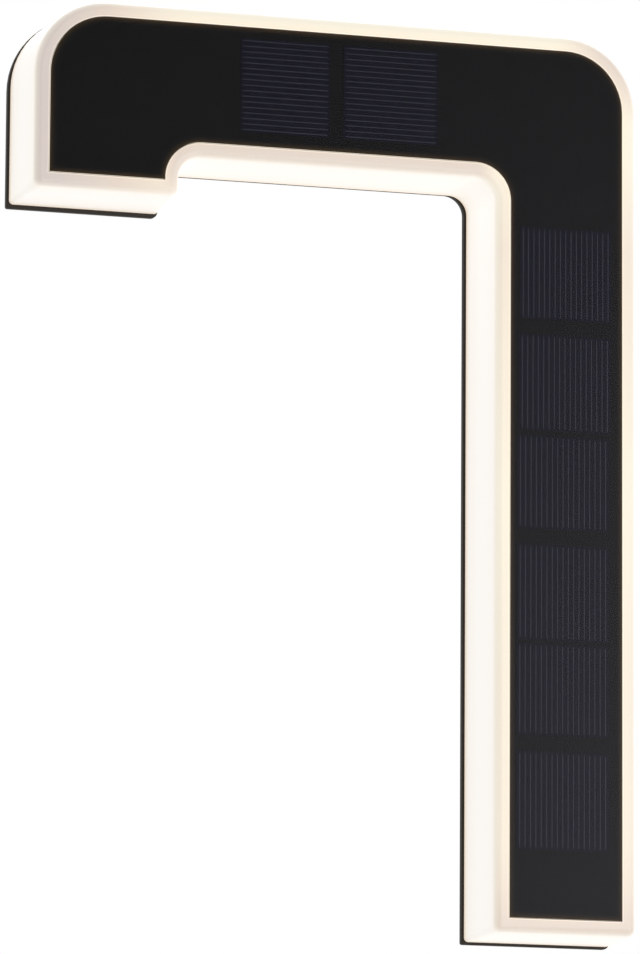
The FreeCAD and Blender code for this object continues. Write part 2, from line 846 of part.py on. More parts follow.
def capacitors():
    """Two can capacitors on the board."""
    cans = []
    face = control_front - capacitor_height
    for step in (0, 1):
        z = control_middle + capacitor_lift - step * capacitor_spacing
        can = post(upright_middle - capacitor_step, z, face, control_front, capacitor_radius)
        rim = [e for e in can.Edges if e.BoundBox.YMax < face + 0.01]
        cans.append(can.makeFillet(capacitor_edge_round, rim))
    return cans


def lead_sockets():
    """Two-way sockets: battery and bar LEDs at the top, upright LEDs at the foot, the panel's facing forward."""
    sockets = []
    mouth_width = socket_width - 2 * socket_wall
    for x, z, side in (
        (battery_socket_x, top_socket_z, 1),
        (bar_socket_x, top_socket_z, 1),
        (upright_middle, foot_socket_z, -1),
    ):
        body = block(x, z, socket_front, control_front, socket_width, socket_length)
        mouth_z = z + side * (socket_length - socket_floor) / 2
        mouth_front, mouth_rear = socket_front + socket_floor, control_front - socket_floor
        sockets.append(body.cut(block(x, mouth_z, mouth_front, mouth_rear, mouth_width, socket_floor)))
    x, z = upright_middle, panel_socket_z
    body = block(x, z, socket_front, control_front, socket_width, socket_length)
    mouth_length = socket_length - 2 * socket_floor
    return sockets + [body.cut(block(x, z, socket_front, socket_front + socket_floor, mouth_width, mouth_length))]


# ---- Battery, its contacts and cover ----
def tab_y():
    return battery_axis - tab_drop


def battery_cell():
    """A cylinder along X with its plus nub towards the upright."""
    body = Part.makeCylinder(
        battery_radius, battery_length - nub_length, Vector(battery_start, battery_axis, bar_middle), Vector(1, 0, 0)
    )
    body = body.makeFillet(cell_edge_round, [e for e in body.Edges if e.Closed])
    nub = Part.makeCylinder(
        nub_radius, nub_length, Vector(battery_end - nub_length, battery_axis, bar_middle), Vector(1, 0, 0)
    )
    return body.fuse(nub).removeSplitter()


def tab(side):
    """The solder tab of a contact, out through the well's end wall."""
    end = well_half_length - contact_thickness / 2
    middle = side * (end + tab_length / 2)
    y = tab_y()
    return block(middle, bar_middle, y - contact_thickness / 2, y + contact_thickness / 2, tab_length, tab_width)


def battery_plus_contact():
    """A flat plate with a dimple that meets the battery's nub."""
    x = well_half_length - contact_thickness / 2
    plate = Part.makeBox(
        contact_thickness,
        contact_height,
        contact_width,
        Vector(x - contact_thickness / 2, battery_axis - contact_height / 2, bar_middle - contact_width / 2),
    )
    dimple = Part.makeCylinder(
        dimple_radius,
        dimple_height + contact_thickness,
        Vector(battery_end, battery_axis, bar_middle),
        Vector(1, 0, 0),
    )
    return plate.fuse([dimple, tab(1)]).removeSplitter()


def battery_minus_contact():
    """A leaf spring folded from one strip; its crest presses the battery's flat end."""
    back = well_half_length - contact_thickness / 2
    crest = -battery_start + contact_thickness / 2
    half = contact_height / 2
    points = [
        (back, battery_axis - half),
        (back, battery_axis + half),
        (back - 1.0, battery_axis + half + 0.5),
        (crest, battery_axis),
        (crest + 1.6, battery_axis - half + 0.8),
    ]
    leaf = strip(points, contact_thickness, -1, bar_middle, contact_width)
    return leaf.fuse(tab(-1)).removeSplitter()


def battery_cover():
    """A flat cover sunk in the back, with a finger notch and a countersunk hole at each end."""
    cover = rounded_block(0, bar_middle, cover_seat, cover_face, cover_length, cover_height, cover_corner)
    rims = [e for e in cover.Edges if e.BoundBox.YMin > cover_face - 0.01]
    cover = cover.makeChamfer(cover_bevel, rims)
    cuts = []
    for x in cover_screw_places():
        cuts.append(countersink(x, bar_middle, cover_screw_clearance))
    notch_y = cover_face - finger_notch_depth
    notch = post(0, bar_middle - cover_height / 2, notch_y, cover_face, finger_notch_radius)
    cuts.append(notch)
    return cover.cut(cuts)


def countersink(x, z, grow):
    """A screw head's cone and the shank below it through the cover, grown by a clearance."""
    depth = cover_screw_head_radius - cover_screw_radius
    wide = cover_screw_head_radius + grow
    narrow = cover_screw_radius + grow
    cone = Part.makeCone(narrow, wide, depth, Vector(x, cover_face - depth, z), Vector(0, 1, 0))
    return cone.fuse(post(x, z, cover_seat, cover_face - depth, narrow))


def battery_cover_screws():
    screws = []
    tip = cover_face - cover_screw_length
    for x in cover_screw_places():
        shank = post(x, bar_middle, tip, cover_seat, cover_screw_radius)
        screw = countersink(x, bar_middle, 0.0).fuse(shank)
        screws.append(screw.cut(cross_cut(x, bar_middle, cover_face, cover_screw_head_radius)).removeSplitter())
    return screws


def cover_gasket():
    """The silicone ring in the ledge under the cover. Its ends lie midway between the well and the screws."""
    inner_x = 2 * cover_gasket_end - cover_gasket_width
    inner_z = 2 * (well_half_height + cover_gasket_margin)
    outer_x = inner_x + 2 * cover_gasket_width
    outer_z = inner_z + 2 * cover_gasket_width
    low = cover_seat - cover_gasket_height
    outer_corner = cover_gasket_corner + cover_gasket_width
    outer = rounded_block(0, bar_middle, low, cover_seat, outer_x, outer_z, outer_corner)
    return outer.cut(rounded_block(0, bar_middle, low, cover_seat, inner_x, inner_z, cover_gasket_corner))


# ---- Slide switch ----
def pin_places():
    return [upright_middle + i * pin_pitch for i in (-1, 0, 1)]


def switch_body():
    """A slide switch on the control board's back, open to the wall side for its knob."""
    body = block(upright_middle, switch_z, control_rear, switch_rear, switch_length, switch_height)
    travel_room = block(
        upright_middle,
        switch_z,
        knob_base - knob_play,
        switch_rear,
        knob_width + switch_travel + 2 * knob_play,
        knob_height + 2 * knob_play,
    )
    return body.cut(travel_room)


def switch_pins():
    return [post(x, switch_z, control_front - pin_length, control_rear, pin_radius) for x in pin_places()]


def switch_knob():
    """The sliding knob, with three grip grooves across its end."""
    knob = block(knob_rest_x, switch_z, knob_base, -knob_sink, knob_width, knob_height)
    groove_foot = -knob_sink - knob_groove_width
    grooves = []
    for i in (-1, 0, 1):
        x = knob_rest_x + i * knob_groove_pitch
        grooves.append(block(x, switch_z, groove_foot, 0, knob_groove_width, knob_height))
    return knob.cut(grooves)


# ---- Leads, all held inside the housing ----
def lead_pair(route):
    """Two leads side by side along a route of (x, y, z, step_x, step_z): its middle, and half the way across."""
    pair = []
    for side in (1, -1):
        pair.append(tube([(x + side * sx, y, z + side * sz) for x, y, z, sx, sz in route], lead_radius))
    return pair


def panel_leads():
    """From the back of the solar board, through the seal, into the socket that faces forward."""
    x, z = lead_hole()
    socket_face = socket_front + socket_floor
    half = lead_pitch / 2
    return lead_pair(
        [
            (x, board_rear, z, half, 0),
            (x, cavity_front + 1.5, z, half, 0),
            (x, socket_face - 4.0, panel_socket_z, half, 0),
            (x, socket_face, panel_socket_z, half, 0),
        ]
    )


def battery_leads():
    """Plus from the near end of the well, minus round the far end and under it, both into the battery socket."""
    y = tab_y() - contact_thickness / 2 - lead_radius
    tab_end = well_half_length + tab_length - 1.5
    x_minus = battery_socket_x - lead_pitch / 2
    x_plus = battery_socket_x + lead_pitch / 2
    plus = [
        (tab_end, y, bar_middle),
        (tab_end + 6.0, y, bar_middle),
        (upright_left - 2.0, y, bar_middle - 4.0),
        (x_plus - 1.5, y, bar_middle - 18.0),
        (x_plus, socket_lead_y, top_socket_mouth + 8.0),
        (x_plus, socket_lead_y, top_socket_mouth),
    ]
    under = bar_middle - well_half_height - well_wall - 2.3
    minus = [
        (-tab_end, y, bar_middle),
        (-tab_end - 5.6, y, bar_middle - 1.5),
        (-tab_end - 6.1, y, under + 2.4),
        (-tab_end + 6.4, y, under),
        (0.0, y, under - 0.5),
        (tab_end - 6.4, y, under + 0.1),
        (upright_left - 4.6, y, under + 4.4),
        (upright_left + 1.4, y, bar_middle - 13.0),
        (x_minus - 2.0, y, bar_under - 6.0),
        (x_minus, socket_lead_y, top_socket_mouth + 6.0),
        (x_minus, socket_lead_y, top_socket_mouth),
    ]
    return tube(plus, lead_radius), tube(minus, lead_radius)


def led_leads():
    """Upper board to its socket, a jumper from the lower board to the upper, and upright board to its socket."""
    half = lead_pitch / 2
    pad = led_board_front
    upper_z = bar_middle + led_board_offset
    lower_z = bar_middle - led_board_offset
    upper_x = upper_board_x + upper_led_count * led_pitch / 2 - 1.8
    lower_x = lower_board_x + lower_led_count * led_pitch / 2 - 2.0
    upright_top = upright_board_z + upright_led_count * led_pitch / 2 - 2.5
    foot_mouth = control_foot + socket_floor
    upper = [
        (upper_x, pad, upper_z, 0, half),
        (upper_x, pad - 3.8, upper_z, 0, half),
        (upright_left + 5.0, pad - 4.6, bar_middle + 5.5, half / 2, 0.85 * half),
        (upright_middle + 2.0, pad - 4.6, bar_middle - 3.0, 0.8 * half, 0.6 * half),
        (bar_socket_x, pad - 4.0, bar_under, half, 0),
        (bar_socket_x, socket_lead_y, top_socket_mouth + 6.0, half, 0),
        (bar_socket_x, socket_lead_y, top_socket_mouth, half, 0),
    ]
    jumper = [
        (lower_x, pad, lower_z, half, 0),
        (lower_x, pad - 3.3, lower_z, half, 0),
        (lower_x + 7.0, pad - 3.2, bar_middle - 7.0, half, 0),
        (lower_x + 7.5, pad - 3.2, bar_middle + 5.0, half, 0),
        (lower_x + 6.0, pad - 3.3, upper_z - 1.7, half, 0),
        (lower_x + 6.0, pad, upper_z - 1.7, half, 0),
    ]
    upright = [
        (upright_middle, socket_lead_y, foot_mouth, half, 0),
        (upright_middle, socket_lead_y, foot_mouth - 6.0, half, 0),
        (upright_middle, socket_lead_y - 1.8, foot_mouth - 11.0, half, 0),
        (upright_middle, socket_lead_y - 1.0, upright_top, half, 0),
        (upright_middle, pad, upright_top, half, 0),
    ]
    return lead_pair(upper) + lead_pair(jumper) + lead_pair(upright)


# ---- Build ----
def main():
    os.makedirs("parts", exist_ok=True)
    save("wall_plate", wall_plate())
    save("diffuser_shell", diffuser_shell())
    save("housing_gasket", housing_gasket())
    save("housing_screws", *housing_screws())
    save("panel_tape", panel_tape())
    save("solar_board", solar_board())
    for number, (x, z, width, height, is_upright) in enumerate(cells(), 1):
        save(f"solar_cell_{number}", solar_cell(x, z, width, height))
    save("cell_fingers", *cell_fingers())
    save("panel_film", panel_film())
    save("lead_seal", lead_seal())
    for name, x, z, count, is_upright in led_boards():
        save(name, led_board(x, z, count, is_upright))
    save("leds", *leds())
    save("board_screws", *board_screws())
    save("control_board", control_board())
    save("charge_chip", charge_chip())
    save("inductor", inductor())
    save("capacitors", *capacitors())
    save("lead_sockets", *lead_sockets())
    save("battery_cell", battery_cell())
    save("battery_plus_contact", battery_plus_contact())
    save("battery_minus_contact", battery_minus_contact())
    save("battery_cover", battery_cover())
    save("battery_cover_screws", *battery_cover_screws())
    save("battery_cover_gasket", cover_gasket())
    save("switch_body", switch_body())
    save("switch_pins", *switch_pins())
    save("switch_knob", switch_knob())
    plus, minus = battery_leads()
    save("battery_lead_plus", plus)
    save("battery_lead_minus", minus)
    plus, minus = panel_leads()
    save("panel_lead_plus", plus)
    save("panel_lead_minus", minus)
    leads = led_leads()
    save("led_leads_plus", *leads[::2])
    save("led_leads_minus", *leads[1::2])


main()
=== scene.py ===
"""The looks of a solar house number, the figure 7, that glows through its sides.

It is laid out as a Blender add-on, in Blender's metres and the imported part's frame: +Z is up, the number
faces -Y, and the wall would touch the back at y = 0. Colours of materials are sRGB hex values. Amounts of
light are linear red, green and blue, and may be more than 1.
"""
import math

import bpy
from bpy.props import FloatProperty, FloatVectorProperty, PointerProperty
from mathutils import Matrix, Vector


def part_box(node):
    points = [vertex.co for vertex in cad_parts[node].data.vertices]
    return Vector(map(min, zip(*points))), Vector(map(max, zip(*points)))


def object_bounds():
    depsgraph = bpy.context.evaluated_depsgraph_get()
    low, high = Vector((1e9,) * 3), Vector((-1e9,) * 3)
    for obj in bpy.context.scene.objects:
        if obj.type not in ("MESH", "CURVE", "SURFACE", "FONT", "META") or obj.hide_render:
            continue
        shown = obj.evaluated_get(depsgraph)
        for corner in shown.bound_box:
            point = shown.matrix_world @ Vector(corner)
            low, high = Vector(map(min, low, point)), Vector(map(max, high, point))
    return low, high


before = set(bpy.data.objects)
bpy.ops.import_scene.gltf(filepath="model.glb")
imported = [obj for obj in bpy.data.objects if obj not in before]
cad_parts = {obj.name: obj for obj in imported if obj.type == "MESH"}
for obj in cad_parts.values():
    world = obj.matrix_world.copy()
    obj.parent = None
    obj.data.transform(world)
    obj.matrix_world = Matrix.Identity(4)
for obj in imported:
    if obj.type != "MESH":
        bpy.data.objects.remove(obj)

bl_info = {
    "name": "Solar house number",
    "version": (1, 0, 0),
    "blender": (4, 5, 0),
    "location": "3D View > Sidebar > House number",
    "description": "Finishes the house number's pieces and sets its stage",
    "category": "Object",
}

MM = 0.001

# ---- Places read from the frame ----
PANEL_LOW, PANEL_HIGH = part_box("panel_film")
SHELL_LOW, SHELL_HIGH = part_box("diffuser_shell")
CELL_LOW, CELL_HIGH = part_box("battery_cell")
CAD_LOW, CAD_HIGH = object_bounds()

# ---- The outline of the 7 ----
BAR_HEIGHT = 32.2 * MM
STROKE_WIDTH = 31.7 * MM
TIP_DROP = 10.6 * MM
TOP_RADIUS = 16 * MM
CROOK_RADIUS = 10 * MM       # inner corners under the bar
BAR_FOOT = PANEL_HIGH.z - BAR_HEIGHT
TIP_FOOT = BAR_FOOT - TIP_DROP
BEYOND = 60 * MM             # how far a stroke is drawn past an edge that another shape cuts
RIM_GROW = 4 * MM            # rim's outer edge outside the panel's edge
TRAY_GROW = 0.15 * MM        # tray's wall outside it, which no LED lights
LIP_GROW = 0.32 * MM         # the tray's thin lip outside it, which glows more than the rim behind

# ---- Kinds of node, and the colour sockets of a Mix node ----
MATH = "ShaderNodeMath"
VECTOR = "ShaderNodeVectorMath"
RANGE = "ShaderNodeMapRange"
RAMP = "ShaderNodeValToRGB"
SPLIT = "ShaderNodeSeparateXYZ"
MIX = "ShaderNodeMix"
MIX_FROM, MIX_TO, MIXED = 6, 7, 2


# ---- Helpers ----
def colour(hex_code):
    """An sRGB hex colour as linear red, green and blue."""
    parts = [int(hex_code[i : i + 2], 16) / 255 for i in (1, 3, 5)]
    return tuple(c / 12.92 if c <= 0.04045 else ((c + 0.055) / 1.055) ** 2.4 for c in parts)


def colours(*hex_codes):
    return [colour(hex_code) for hex_code in hex_codes]


def shades(base, *factors):
    """A linear colour times each factor."""
    return [[c * factor for c in base] for factor in factors]


def shared(glow, stops):
    """A ramp's stops whose colours are shares of a glow, made into light."""
    return [(at, [c * part for c, part in zip(glow, parts)]) for at, parts in stops]


def rgba(values):
    return (*values, 1.0)


def add_node(tree, kind, inputs=(), stops=(), **settings):
    """Adds a node. inputs map a socket's name or number to a value or to another socket, stops are a colour
    ramp's pairs of a place from 0 to 1 and a linear colour, and settings go to the node's properties."""
    made = tree.nodes.new(kind)
    for name, value in settings.items():
        setattr(made, name, value)
    for name, value in dict(inputs).items():
        if isinstance(value, bpy.types.NodeSocket):
            tree.links.new(value, made.inputs[name])
        else:
            made.inputs[name].default_value = value
    if stops:
        elements = made.color_ramp.elements
        for element, (at, tint) in zip(elements, (stops[0], stops[-1])):
            element.position, element.color = at, rgba(tint)
        for at, tint in stops[1:-1]:
            elements.new(at).color = rgba(tint)
    return made


def new_material(name, **sockets):
    """A material of one Principled shader. Socket names are written with underscores for spaces."""
    material = bpy.data.materials.new(name)
    material.use_nodes = True
    tree = material.node_tree
    shader = tree.nodes["Principled BSDF"]
    for socket, value in sockets.items():
        shader.inputs[socket.replace("_", " ")].default_value = value
    return material, tree, shader


def object_place(tree):
    return add_node(tree, "ShaderNodeTexCoord").outputs["Object"]


NOISE_LOW, NOISE_HIGH = 0.3, 0.7      # where nearly all of the noise lies


def mottle(tree, shader, size, tints, depth=0.0, grades=(), place=None):
    """Grain: noise of that size tints between two colours and lifts the surface by depth, both in metres.
    grades are the two roughnesses that the same noise runs between."""
    noise = add_node(
        tree, "ShaderNodeTexNoise",
        {"Vector": place or object_place(tree), "Scale": 1 / size, "Detail": 3.0, "Roughness": 0.6},
    ).outputs["Fac"]
    ramp = add_node(tree, RAMP, {"Fac": noise}, [*zip((NOISE_LOW, NOISE_HIGH), tints)])
    tree.links.new(ramp.outputs["Color"], shader.inputs["Base Color"])
    if depth:
        bump = add_node(tree, "ShaderNodeBump", {"Height": noise, "Distance": depth, "Strength": 1.0})
        tree.links.new(bump.outputs["Normal"], shader.inputs["Normal"])
    if grades:
        spread = add_node(
            tree, RANGE,
            {"Value": noise, "From Min": NOISE_LOW, "From Max": NOISE_HIGH, "To Min": grades[0],
             "To Max": grades[1]},
        )
        tree.links.new(spread.outputs["Result"], shader.inputs["Roughness"])


def mottled(name, size, tints, depth=0.0, grades=(), **sockets):
    """A material that is all one grain."""
    material, tree, shader = new_material(name, **sockets)
    mottle(tree, shader, size, tints, depth, grades)
    return material


def finish_nodes(material, *names):
    """Gives CAD nodes their material."""
    for name in names:
        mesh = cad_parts[name].data
        mesh.materials.clear()
        mesh.materials.append(material)


# ---- Settings ----
class DiffuserLook(bpy.types.PropertyGroup):
    plastic: FloatVectorProperty(
        name="Plastic", description="Colour of the opal moulding unlit", subtype="COLOR",
        default=colour("#cfcac4"),
    )
    wall_glow: FloatVectorProperty(
        name="Wall glow", description="Light that the side walls add", subtype="COLOR",
        default=(0.535, 0.52, 0.5),
    )
    rim_glow: FloatVectorProperty(
        name="Rim glow", description="Light that the front rim adds", subtype="COLOR",
        default=(0.365, 0.335, 0.215),
    )
    glow: FloatProperty(name="Glow", description="Strength of the light inside", default=1.0, min=0.0)
    grain: FloatProperty(
        name="Grain", description="Size of the moulding's fine texture", default=0.5 * MM, unit="LENGTH"
    )


class PanelLook(bpy.types.PropertyGroup):
    film: FloatVectorProperty(
        name="Film haze", description="Grey that the matte film scatters", subtype="COLOR",
        default=colour("#0a0a0b"),
    )
    board: FloatVectorProperty(
        name="Board", description="Black solder resist under the film", subtype="COLOR",
        default=colour("#070708"),
    )
    cell: FloatVectorProperty(
        name="Cell", description="Blue black of the coated silicon", subtype="COLOR",
        default=colour("#0c0c2b"),
    )
    finger: FloatVectorProperty(
        name="Finger", description="Printed silver lines, seen through the film", subtype="COLOR",
        default=colour("#65667a"),
    )
    edge_light: FloatVectorProperty(
        name="Edge light", description="Brown light that leaks into the film's edge", subtype="COLOR",
        default=(0.08, 0.05, 0.02),
    )
    edge_line: FloatVectorProperty(
        name="Edge line", description="Cream light on the film's cut side", subtype="COLOR",
        default=(4.4, 3.9, 3.2),
    )
    haze: FloatProperty(
        name="Haze", description="Share of the film that isn't clear", default=0.3, min=0.0, max=1.0
    )


class HousingLook(bpy.types.PropertyGroup):
    # The plate's colour is tinted warm brown: painted light, standing in for the diffuser's warm glow falling
    # on the plate.
    plate: FloatVectorProperty(
        name="Plate", description="Black of the moulded back", subtype="COLOR", default=colour("#241e17")
    )
    grain: FloatProperty(
        name="Spark texture", description="Grain of the moulded texture", default=0.35 * MM, unit="LENGTH"
    )
    zinc: FloatVectorProperty(
        name="Screws", description="Zinc plating of the steel screws", subtype="COLOR",
        default=colour("#bfc4c8"),
    )
    knob: FloatVectorProperty(
        name="Knob", description="White plastic of the switch's knob", subtype="COLOR",
        default=colour("#e6e4df"),
    )


class StageLook(bpy.types.PropertyGroup):
    azimuth: FloatProperty(
        name="Azimuth", description="Camera to the left of the front", subtype="ANGLE",
        default=math.radians(17.333),
    )
    elevation: FloatProperty(
        name="Elevation", description="Camera above the target", subtype="ANGLE",
        default=math.radians(-9.128),
    )
    roll: FloatProperty(
        name="Roll", description="Camera's turn about its view", subtype="ANGLE", default=math.radians(0.386)
    )
    distance: FloatProperty(
        name="Distance", description="Camera to target", default=1.7838, unit="LENGTH"
    )
    target: FloatVectorProperty(
        name="Target", description="Point at the picture's centre", subtype="XYZ",
        default=(-0.00496, -0.0258, -0.10021),
    )
    lens: FloatProperty(name="Lens", description="Focal length in millimetres", default=254.66)
    floor: FloatVectorProperty(
        name="Floor", description="Pale floor below the number", subtype="COLOR", default=colour("#f4f2ee")
    )
    ambient: FloatProperty(name="Ambient", description="Light from all round", default=0.5)
    key: FloatProperty(name="Key", description="Power of the soft key light in watts", default=5.0)
    sheen: FloatProperty(
        name="Sheen", description="Power of the side light that the panel mirrors, in watts", default=22.0
    )
    back: FloatProperty(name="Back", description="Power of the light on the back in watts", default=14.0)


class NumberLook(bpy.types.PropertyGroup):
    diffuser: PointerProperty(type=DiffuserLook, name="Diffuser", description="Opal moulding")
    panel: PointerProperty(type=PanelLook, name="Panel", description="Solar panel")
    housing: PointerProperty(type=HousingLook, name="Housing", description="Back, screws and switch")
    stage: PointerProperty(type=StageLook, name="Stage", description="Camera, lights and floor")


# ---- The outline as a distance ----
def flattened(tree, place):
    """The place with its depth left out."""
    return add_node(tree, VECTOR, {0: place, 1: (1, 0, 1)}, operation="MULTIPLY").outputs[0]


def outside_box(tree, flat, x0, x1, z0, z1, radius=0.0):
    """Distance outside an upright box with rounded corners: the length of what |p - middle| exceeds its half
    sizes by, less the radius, where the half sizes are shortened by that radius first."""
    middle = ((x0 + x1) / 2, 0, (z0 + z1) / 2)
    half = ((x1 - x0) / 2 - radius, 0, (z1 - z0) / 2 - radius)
    apart = add_node(tree, VECTOR, {0: flat, 1: middle}, operation="SUBTRACT").outputs[0]
    apart = add_node(tree, VECTOR, {0: apart}, operation="ABSOLUTE").outputs[0]
    apart = add_node(tree, VECTOR, {0: apart, 1: half}, operation="SUBTRACT").outputs[0]
    apart = add_node(tree, VECTOR, {0: apart, 1: (0, 0, 0)}, operation="MAXIMUM").outputs[0]
    length = add_node(tree, VECTOR, {0: apart}, operation="LENGTH").outputs["Value"]
    return add_node(tree, MATH, {0: length, 1: radius}, operation="SUBTRACT").outputs[0]


def joined(tree, one, other, radius):
    """Distance outside two shapes that a fillet joins: the greater of the radius and the lesser distance,
    less the length of what the radius exceeds both distances by."""
    pair = add_node(tree, "ShaderNodeCombineXYZ", {0: one, 1: other}).outputs[0]
    short = add_node(tree, VECTOR, {0: (radius, radius, 0), 1: pair}, operation="SUBTRACT").outputs[0]
    short = add_node(tree, VECTOR, {0: short, 1: (0, 0, 0)}, operation="MAXIMUM").outputs[0]
    length = add_node(tree, VECTOR, {0: short}, operation="LENGTH").outputs["Value"]
    least = add_node(tree, MATH, {0: one, 1: other}, operation="MINIMUM").outputs[0]
    least = add_node(tree, MATH, {0: least, 1: radius}, operation="MAXIMUM").outputs[0]
    return add_node(tree, MATH, {0: least, 1: length}, operation="SUBTRACT").outputs[0]


def outside_seven(tree, flat, inset=0.0):
    """Distance outside the panel's outline, or outside one that lies inset within it. The bar, the tip and
    the upright run on past the outer edges, and fillets join them in the inner corners. The 7's distance is
    the greater of theirs and the one outside the whole rounded outer shape."""
    x0, x1, top, foot = PANEL_LOW.x, PANEL_HIGH.x, PANEL_HIGH.z, PANEL_LOW.z
    roof = top + BEYOND
    bar = outside_box(tree, flat, x0 - BEYOND, x1 + BEYOND, BAR_FOOT + inset, roof)
    tip = outside_box(tree, flat, x0 - BEYOND, x0 + STROKE_WIDTH - inset, TIP_FOOT + inset, roof)
    upright = outside_box(tree, flat, x1 - STROKE_WIDTH + inset, x1 + BEYOND, foot + inset, roof)
    whole = outside_box(tree, flat, x0 + inset, x1 - inset, foot - BEYOND, top - inset, TOP_RADIUS - inset)
    crook = CROOK_RADIUS + inset
    strokes = joined(tree, joined(tree, bar, tip, crook), upright, crook)
    return add_node(tree, MATH, {0: strokes, 1: whole}, operation="MAXIMUM").outputs[0]


# ---- Diffuser ----
SATIN_DEPTH = 0.008 * MM          # height of the moulding's fine texture
# Shares of the wall's glow, from the rim back to the plate: creamier at both ends.
WALL_STOPS = (
    (0.06, (0.98, 0.96, 0.9)), (0.16, (1, 1, 1)), (0.5, (1.01, 1.02, 1.03)), (0.88, (0.99, 0.97, 0.94)),
    (0.95, (0.97, 0.88, 0.76)), (1.0, (0.95, 0.78, 0.6)),
)
# Shares of the rim's glow, by how well the LEDs reach it: browner as that falls.
RIM_STOPS = (
    (0.2, (0.24, 0.14, 0.11)), (0.55, (0.52, 0.36, 0.22)), (0.75, (0.76, 0.62, 0.54)), (1.0, (1, 1, 1)),
)
# Shares of it across the rim, from the panel's edge outwards.
ACROSS_STOPS = ((0.1, (1.0, 0.93, 0.72)), (0.8, (1, 1, 1)))
LIP_GLOW = (0.17, 0.155, 0.13)    # light that the tray's lip adds
LIP_FADE = 0.15 * MM              # width in which it ends
RIM_BACK = 0.02 * MM              # depth behind the rim's face where its glow starts to give way
WALL_START = 1.35 * MM            # depth from which the wall has its own glow
TRAY_DARK, TRAY_LIT = TRAY_GROW + 0.01 * MM, TRAY_GROW + 0.04 * MM

# How well the LEDs reach the rim. The first pairs are heights in metres and levels there: the LEDs crowd
# round the middle of the upright.
HEIGHT_STOPS = (
    (-0.219, 0.5), (-0.207, 0.74), (-0.195, 0.86), (-0.15, 0.87), (-0.102, 0.98), (-0.05, 0.82),
    (-0.035, 0.78), (-0.01, 1.0), (0.024, 1.0),
)
TIP_X, BAR_X, TIP_LEVEL = -90 * MM, -38 * MM, 0.12       # from the tip's dark end to the lit bar
CORNER_NEAR, CORNER_FAR, CORNER_LEVEL = 4 * MM, 26 * MM, 0.42
SHADE_X0, SHADE_X1 = -44 * MM, 38 * MM                   # strip of the rim that the bar shades
SHADE_Z0, SHADE_Z1 = BAR_FOOT - 8 * MM, BAR_FOOT - 1 * MM
SHADE_FADE, SHADE_LEVEL = 7 * MM, 0.52


def led_reach(tree, flat, split):
    """How well the LEDs light the rim: the product of levels that fall towards the foot, the tip, the far
    corner and the strip under the bar."""
    low, high = HEIGHT_STOPS[0][0], HEIGHT_STOPS[-1][0]
    height = add_node(tree, RANGE, {"Value": split.outputs["Z"], "From Min": low, "From Max": high})
    reach = add_node(
        tree, RAMP, {"Fac": height.outputs["Result"]},
        [((z - low) / (high - low), (level,) * 3) for z, level in HEIGHT_STOPS],
    ).outputs["Color"]
    corner = (SHELL_HIGH.x, 0, SHELL_HIGH.z)
    from_corner = add_node(tree, VECTOR, {0: flat, 1: corner}, operation="DISTANCE").outputs["Value"]
    from_shade = outside_box(tree, flat, SHADE_X0, SHADE_X1, SHADE_Z0, SHADE_Z1)
    for value, dark_at, lit_at, level in (
        (split.outputs["X"], TIP_X, BAR_X, TIP_LEVEL),
        (from_corner, CORNER_NEAR, CORNER_FAR, CORNER_LEVEL),
        (from_shade, 0.0, SHADE_FADE, SHADE_LEVEL),
    ):
        share = add_node(
            tree, RANGE,
            {"Value": value, "From Min": dark_at, "From Max": lit_at, "To Min": level, "To Max": 1.0},
            interpolation_type="SMOOTHSTEP",
        ).outputs["Result"]
        reach = add_node(tree, MATH, {0: reach, 1: share}, operation="MULTIPLY").outputs[0]
    return reach


def opal_polycarbonate(look):
    """Opal polycarbonate, injection moulded with a satin skin: a warm white that glows on the walls, which
    face the LEDs inside, and less on the front rim, whose plastic is thicker and which only stray light
    reaches. The tray's wall is dark and its thin lip bright."""
    material, tree, shader = new_material(
        "opal_polycarbonate_moulded", Roughness=0.42, IOR=1.58, Specular_IOR_Level=0.4,
        Emission_Strength=look.glow,
    )
    place = object_place(tree)
    flat = flattened(tree, place)
    split = add_node(tree, SPLIT, {0: place})
    back = split.outputs["Y"]
    outside = outside_seven(tree, flat)
    mottle(tree, shader, look.grain, shades(look.plastic, 0.985, 1.015), SATIN_DEPTH, place=place)

    depth = add_node(tree, RANGE, {"Value": back, "From Min": SHELL_LOW.y, "From Max": SHELL_HIGH.y})
    wall = add_node(tree, RAMP, {"Fac": depth.outputs["Result"]}, shared(look.wall_glow, WALL_STOPS))
    rim = add_node(tree, RAMP, {"Fac": led_reach(tree, flat, split)}, shared(look.rim_glow, RIM_STOPS))
    across = add_node(tree, RANGE, {"Value": outside, "From Min": 0.0, "From Max": RIM_GROW})
    across = add_node(tree, RAMP, {"Fac": across.outputs["Result"]}, ACROSS_STOPS)
    rim_light = add_node(
        tree, VECTOR, {0: rim.outputs["Color"], 1: across.outputs["Color"]}, operation="MULTIPLY"
    ).outputs[0]
    onto_wall = add_node(
        tree, RANGE,
        {"Value": back, "From Min": SHELL_LOW.y + RIM_BACK, "From Max": SHELL_LOW.y + WALL_START},
    ).outputs["Result"]
    glow = add_node(
        tree, MIX, {0: onto_wall, MIX_FROM: rim_light, MIX_TO: wall.outputs["Color"]}, data_type="RGBA"
    ).outputs[MIXED]
    at_lip = add_node(
        tree, RANGE,
        {"Value": outside, "From Min": LIP_GROW, "From Max": LIP_GROW + LIP_FADE, "To Min": 1.0,
         "To Max": 0.0},
    ).outputs["Result"]
    lip = add_node(tree, VECTOR, {0: LIP_GLOW, "Scale": at_lip}, operation="SCALE").outputs[0]
    glow = add_node(tree, VECTOR, {0: glow, 1: lip}, operation="ADD").outputs[0]
    out_of_tray = add_node(
        tree, RANGE, {"Value": outside, "From Min": TRAY_DARK, "From Max": TRAY_LIT}
    ).outputs["Result"]
    glow = add_node(tree, VECTOR, {0: glow, "Scale": out_of_tray}, operation="SCALE").outputs[0]
    tree.links.new(glow, shader.inputs["Emission Color"])
    return material


